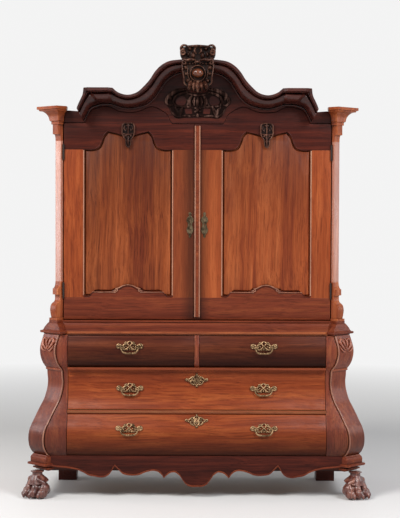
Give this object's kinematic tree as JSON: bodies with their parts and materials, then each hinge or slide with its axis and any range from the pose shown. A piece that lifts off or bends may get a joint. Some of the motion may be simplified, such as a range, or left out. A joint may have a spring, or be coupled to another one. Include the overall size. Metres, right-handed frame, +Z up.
{
  "type": "kas cupboard",
  "caption": "Tall two-door kas with an arched carved cornice and canted pilasters, on a swelling chest of drawers with hanging bails and carved paw feet.",
  "frame": {"origin": "on the floor under the middle of the whole piece", "axes": "+X to the right of someone facing the doors, +Y towards the wall behind, +Z up"},
  "size_m": [1.93, 0.7, 2.485],
  "materials": {
    "walnut": "satin wax",
    "dark_walnut": "satin wax",
    "carved_wood": "satin wax",
    "figured_walnut": "satin wax",
    "case_oak": "plain sawn and planed",
    "gilt_brass": "worn gilt",
    "iron": "forged"
  },
  "bodies": {
    "case": {"apron": "dark_walnut", "cabinet_back": "case_oak", "cabinet_bottom": "case_oak", "cabinet_side_left": "walnut", "cabinet_side_right": "walnut", "cabinet_top": "case_oak", "chest_back": "case_oak", "chest_bottom": "case_oak", "chest_side_left": "walnut", "chest_side_right": "walnut", "chest_top": "walnut", "corner_post_left": "walnut", "corner_post_right": "walnut", "cornice": "dark_walnut", "cresting": "carved_wood", "drawer_divider": "walnut", "drawer_rail_lower": "walnut", "drawer_rail_upper": "walnut", "hinge_pin_lower_left": "iron", "hinge_pin_lower_right": "iron", "hinge_pin_upper_left": "iron", "hinge_pin_upper_right": "iron", "paw_foot_left": "carved_wood", "paw_foot_right": "carved_wood", "pediment": "dark_walnut", "pilaster_left": "walnut", "pilaster_right": "walnut", "plinth": "walnut", "rear_foot_left": "dark_walnut", "rear_foot_right": "dark_walnut", "shelf_1": "case_oak", "shelf_2": "case_oak"},
    "leaf_left": {"door_left_frame": "walnut", "door_panel_left": "figured_walnut", "door_escutcheon_left": "gilt_brass"},
    "leaf_right": {"door_right_frame": "walnut", "door_panel_right": "figured_walnut", "door_escutcheon_right": "gilt_brass", "astragal": "walnut"},
    "bolt": {"lock_bolt": "iron"},
    "drawer_low": {"drawer_front_bottom": "figured_walnut", "drawer_box_bottom": "case_oak", "handle_plate_bottom_left": "gilt_brass", "handle_plate_bottom_right": "gilt_brass"},
    "drawer_mid": {"drawer_front_middle": "figured_walnut", "drawer_box_middle": "case_oak", "handle_plate_middle_left": "gilt_brass", "handle_plate_middle_right": "gilt_brass"},
    "drawer_upper_left": {"drawer_front_top_left": "figured_walnut", "drawer_box_top_left": "case_oak", "handle_plate_top_left": "gilt_brass"},
    "drawer_upper_right": {"drawer_front_top_right": "figured_walnut", "drawer_box_top_right": "case_oak", "handle_plate_top_right": "gilt_brass"},
    "pull_bottom_left": {"bail_bottom_left": "gilt_brass"},
    "pull_bottom_right": {"bail_bottom_right": "gilt_brass"},
    "pull_middle_left": {"bail_middle_left": "gilt_brass"},
    "pull_middle_right": {"bail_middle_right": "gilt_brass"},
    "pull_top_left": {"bail_top_left": "gilt_brass"},
    "pull_top_right": {"bail_top_right": "gilt_brass"}
  },
  "joints": [
    {"name": "door_left_hinge", "type": "hinge", "parent": "case", "child": "leaf_left", "pos_m": [-0.7422, -0.1706, 0], "axis": [0, 0, -1], "range_deg": [0, 100]},
    {"name": "door_right_hinge", "type": "hinge", "parent": "case", "child": "leaf_right", "pos_m": [0.7422, -0.1706, 0], "axis": [0, 0, 1], "range_deg": [0, 100]},
    {"name": "lock_bolt_slide", "type": "slide", "parent": "leaf_right", "child": "bolt", "axis": [-1, 0, 0], "range_m": [0, 0.013]},
    {"name": "drawer_low_slide", "type": "slide", "parent": "case", "child": "drawer_low", "axis": [0, -1, 0], "range_m": [0, 0.4]},
    {"name": "drawer_mid_slide", "type": "slide", "parent": "case", "child": "drawer_mid", "axis": [0, -1, 0], "range_m": [0, 0.4]},
    {"name": "drawer_upper_left_slide", "type": "slide", "parent": "case", "child": "drawer_upper_left", "axis": [0, -1, 0], "range_m": [0, 0.4]},
    {"name": "drawer_upper_right_slide", "type": "slide", "parent": "case", "child": "drawer_upper_right", "axis": [0, -1, 0], "range_m": [0, 0.4]},
    {"name": "pull_bottom_left_swing", "type": "hinge", "parent": "drawer_low", "child": "pull_bottom_left", "pos_m": [-0.36974, -0.3125, 0.38317], "axis": [-1, 0, 0], "range_deg": [0, 80]},
    {"name": "pull_bottom_right_swing", "type": "hinge", "parent": "drawer_low", "child": "pull_bottom_right", "pos_m": [0.36974, -0.3125, 0.38317], "axis": [-1, 0, 0], "range_deg": [0, 80]},
    {"name": "pull_middle_left_swing", "type": "hinge", "parent": "drawer_mid", "child": "pull_middle_left", "pos_m": [-0.36974, -0.22969, 0.59245], "axis": [-1, 0, 0], "range_deg": [0, 80]},
    {"name": "pull_middle_right_swing", "type": "hinge", "parent": "drawer_mid", "child": "pull_middle_right", "pos_m": [0.36974, -0.22969, 0.59245], "axis": [-1, 0, 0], "range_deg": [0, 80]},
    {"name": "pull_top_left_swing", "type": "hinge", "parent": "drawer_upper_left", "child": "pull_top_left", "pos_m": [-0.36974, -0.26221, 0.82798], "axis": [-1, 0, 0], "range_deg": [0, 80]},
    {"name": "pull_top_right_swing", "type": "hinge", "parent": "drawer_upper_right", "child": "pull_top_right", "pos_m": [0.36974, -0.26221, 0.82798], "axis": [-1, 0, 0], "range_deg": [0, 80]}
  ]
}
